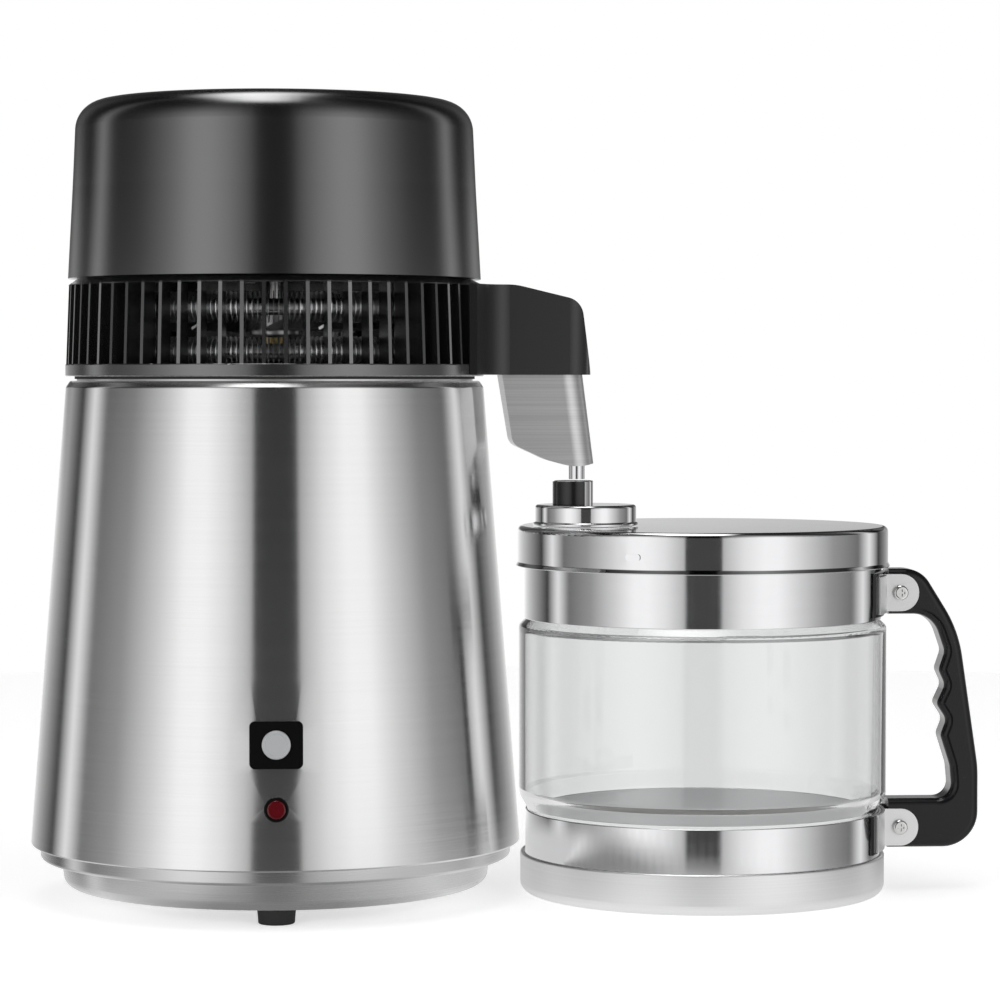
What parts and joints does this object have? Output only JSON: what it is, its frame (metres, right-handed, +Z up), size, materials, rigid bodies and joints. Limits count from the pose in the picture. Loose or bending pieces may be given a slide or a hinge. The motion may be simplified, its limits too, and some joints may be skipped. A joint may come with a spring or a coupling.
{
  "type": "glass water distiller",
  "caption": "Countertop water distiller: tapered steel boiler, lift-off fan-cooled condenser head with drip spout, and a lidded glass jug with a black handle.",
  "frame": {"origin": "middle of the footprint of boiler and jug together, on the worktop", "axes": "+X from the boiler to the jug and its handle, -Y towards the user, +Z up"},
  "size_m": [0.4495, 0.2302, 0.3744],
  "materials": {
    "casing_steel": "horizontal brushed stainless",
    "base_steel": "satin stainless",
    "inner_steel": "plain stainless sheet",
    "shroud_steel": "fine brushed, satin",
    "bright_steel": "mirror polished stainless",
    "cup_steel": "light satin stainless",
    "black_plastic": "satin moulded, charcoal black",
    "gloss_black": "gloss moulded black",
    "button_grey": "light grey moulded",
    "red_lens": "clear red lens",
    "clear_glass": "clear borosilicate glass",
    "rubber": "moulded black rubber",
    "silicone": "translucent silicone",
    "aluminium": "as cast or stamped",
    "porcelain": "unglazed ceramic and tabs",
    "zinc_steel": "zinc plated",
    "brass": "plain brass",
    "bronze": "sintered bronze",
    "copper": "enamelled winding wire",
    "core_steel": "stacked laminations"
  },
  "bodies": {
    "boiler": {"base_ring": "base_steel", "bottom_plate": "inner_steel", "rubber_feet": "rubber", "base_fasteners": "zinc_steel", "casing": "casing_steel", "boiler_tank": "inner_steel", "heater_plate": "aluminium", "heating_element": "inner_steel", "heater_terminals": "porcelain", "boil_dry_thermostat": "zinc_steel", "overheat_cutout": "zinc_steel", "heat_shield": "inner_steel", "heater_fasteners": "zinc_steel", "button_bezel": "gloss_black", "button_spring": "zinc_steel", "switch_body": "black_plastic", "indicator_rim": "gloss_black", "indicator_lens": "red_lens", "indicator_nut": "black_plastic", "power_inlet": "gloss_black", "fan_socket": "gloss_black", "socket_pins": "brass"},
    "button": {"start_button": "button_grey"},
    "head": {"head_gasket": "rubber", "steam_plate": "inner_steel", "louvre_ring": "black_plastic", "dome_cover": "black_plastic", "head_fasteners": "zinc_steel", "head_socket": "gloss_black", "condenser_coil": "inner_steel", "coil_fins": "aluminium", "outlet_hose": "silicone", "drip_nozzle": "bright_steel", "spout_hood": "black_plastic", "hood_floor": "black_plastic", "spout_shroud": "shroud_steel", "motor_bracket": "zinc_steel", "motor_can": "zinc_steel", "motor_bushes": "bronze", "stator_core": "core_steel", "stator_windings": "copper"},
    "fan": {"motor_rotor": "core_steel", "fan_shaft": "inner_steel", "fan_blades": "aluminium", "fan_nut": "brass"},
    "jug": {"base_cup": "cup_steel", "glass_pad": "silicone", "jug_glass": "clear_glass", "lower_band": "bright_steel", "upper_band": "bright_steel", "jug_handle": "gloss_black", "handle_saddles": "gloss_black", "handle_straps": "bright_steel", "handle_fasteners": "zinc_steel"},
    "lid": {"jug_lid": "bright_steel", "lid_seal": "silicone"},
    "cap": {"filler_cap": "bright_steel", "filler_seal": "silicone", "drip_neck": "bright_steel", "neck_sleeve": "gloss_black"}
  },
  "joints": [
    {"name": "head_lift", "type": "slide", "parent": "boiler", "child": "head", "axis": [0, 0, 1], "range_m": [0, 0.15]},
    {"name": "fan_spin", "type": "hinge", "parent": "head", "child": "fan", "pos_m": [-0.1096, 0, 0.27], "axis": [0, 0, 1], "continuous": true},
    {"name": "button_press", "type": "slide", "parent": "boiler", "child": "button", "axis": [0, 0.9968, -0.0797], "range_m": [0, 0.0025], "stiffness_N_per_m": 400, "springref_m": -0.0025, "deforming": ["button_spring"]},
    {"name": "jug_slide", "type": "slide", "parent": "boiler", "child": "jug", "axis": [1, 0, 0], "range_m": [0, 0.25]},
    {"name": "lid_turn", "type": "hinge", "parent": "jug", "child": "lid", "pos_m": [0.093, 0, 0.165], "axis": [0, 0, 1], "continuous": true},
    {"name": "filler_cap_turn", "type": "hinge", "parent": "lid", "child": "cap", "pos_m": [0.0373, 0, 0.18], "axis": [0, 0, 1], "continuous": true}
  ]
}
